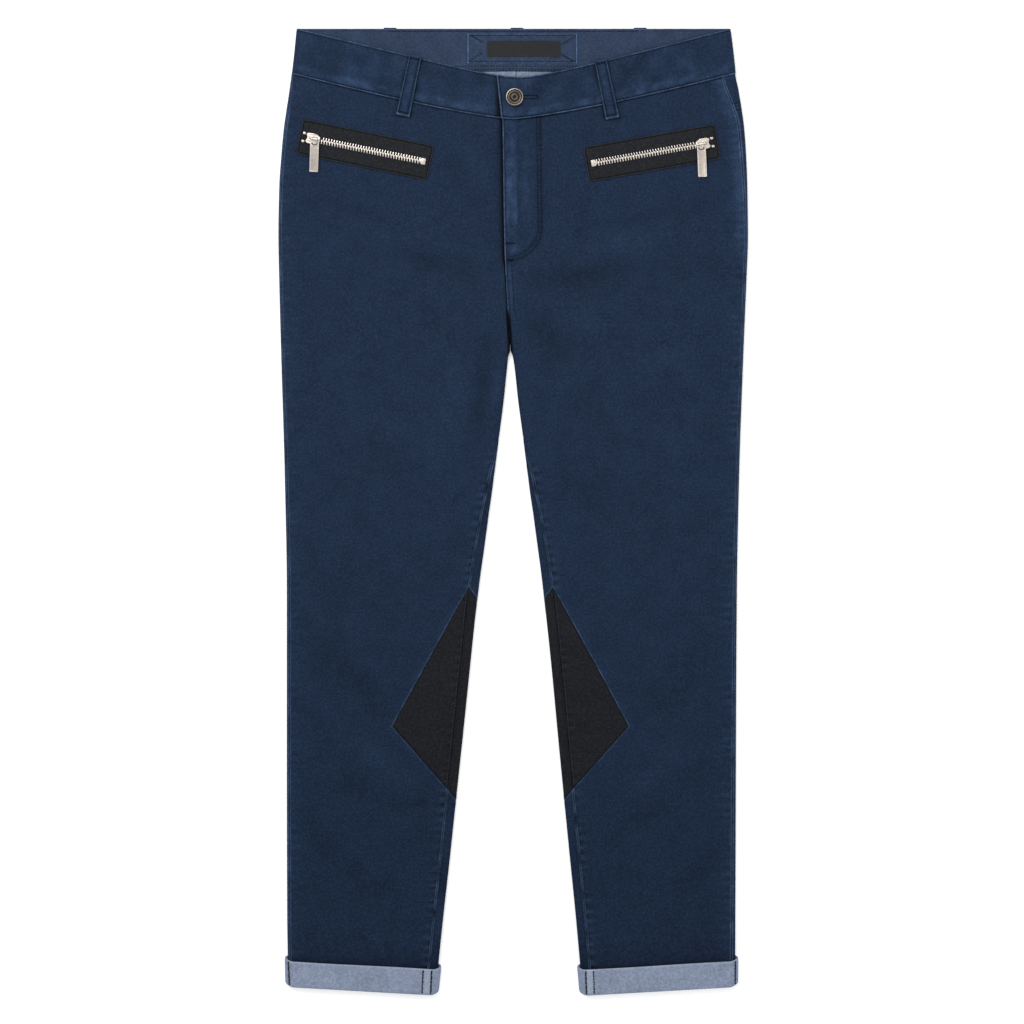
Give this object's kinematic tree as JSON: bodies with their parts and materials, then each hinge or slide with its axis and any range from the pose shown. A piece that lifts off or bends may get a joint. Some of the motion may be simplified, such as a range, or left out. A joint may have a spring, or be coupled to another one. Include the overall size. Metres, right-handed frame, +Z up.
{
  "type": "coated jeans laid flat",
  "caption": "Slim coated denim jeans laid flat on their back, with a dipped waist, fly front, tilted zip pockets, black kite inserts at the inner knees and turned-up hems.",
  "frame": {"origin": "middle of the resting face, on the surface that the jeans lie on", "axes": "+X towards the wearer's left, +Y up to the waist, +Z up out of the surface, through the fly"},
  "size_m": [0.4502, 0.9284, 0.0139],
  "materials": {
    "coated_denim": "waxed dark navy twill with a soft sheen, worn paler along its seams",
    "black_panel": "smooth black coated cloth",
    "wrong_side": "matte pale blue-grey twill, the cloth's wrong side",
    "woven_label": "plain black woven tape",
    "nickel": "polished nickel",
    "button_metal": "antiqued dark metal, polished on its raised rings"
  },
  "bodies": {
    "root": {"front_right": "coated_denim", "back_right": "coated_denim", "yoke_right": "coated_denim", "waistband_right": "coated_denim", "loop_front_right": "coated_denim", "loop_back_right": "coated_denim", "knee_kite_front_right": "black_panel", "knee_kite_back_right": "black_panel", "zip_patch_right": "black_panel", "turn_up_right": "wrong_side", "zip_chain_right": "nickel", "zip_bottom_stop_right": "nickel", "zip_top_stop_upper_right": "nickel", "zip_top_stop_lower_right": "nickel", "slider_right": "nickel", "front_left": "coated_denim", "back_left": "coated_denim", "yoke_left": "coated_denim", "waistband_left": "coated_denim", "loop_front_left": "coated_denim", "loop_back_left": "coated_denim", "knee_kite_front_left": "black_panel", "knee_kite_back_left": "black_panel", "zip_patch_left": "black_panel", "turn_up_left": "wrong_side", "zip_chain_left": "nickel", "zip_bottom_stop_left": "nickel", "zip_top_stop_upper_left": "nickel", "zip_top_stop_lower_left": "nickel", "slider_left": "nickel", "loop_back_centre": "coated_denim", "fly_zip": "black_panel", "fly_shield": "coated_denim", "button": "button_metal", "label_patch": "coated_denim", "label": "woven_label", "size_tab": "woven_label"},
    "pull_right": {"pull_right": "nickel"},
    "pull_left": {"pull_left": "nickel"}
  },
  "joints": [
    {"name": "pull_right_hinge", "type": "hinge", "parent": "root", "child": "pull_right", "pos_m": [-0.18982, 0.35645, 0.0122], "axis": [-0.9799, 0.1994, 0], "range_deg": [0, 195]},
    {"name": "pull_left_hinge", "type": "hinge", "parent": "root", "child": "pull_left", "pos_m": [0.18027, 0.35178, 0.0122], "axis": [-0.9848, -0.1736, 0], "range_deg": [0, 195]}
  ]
}
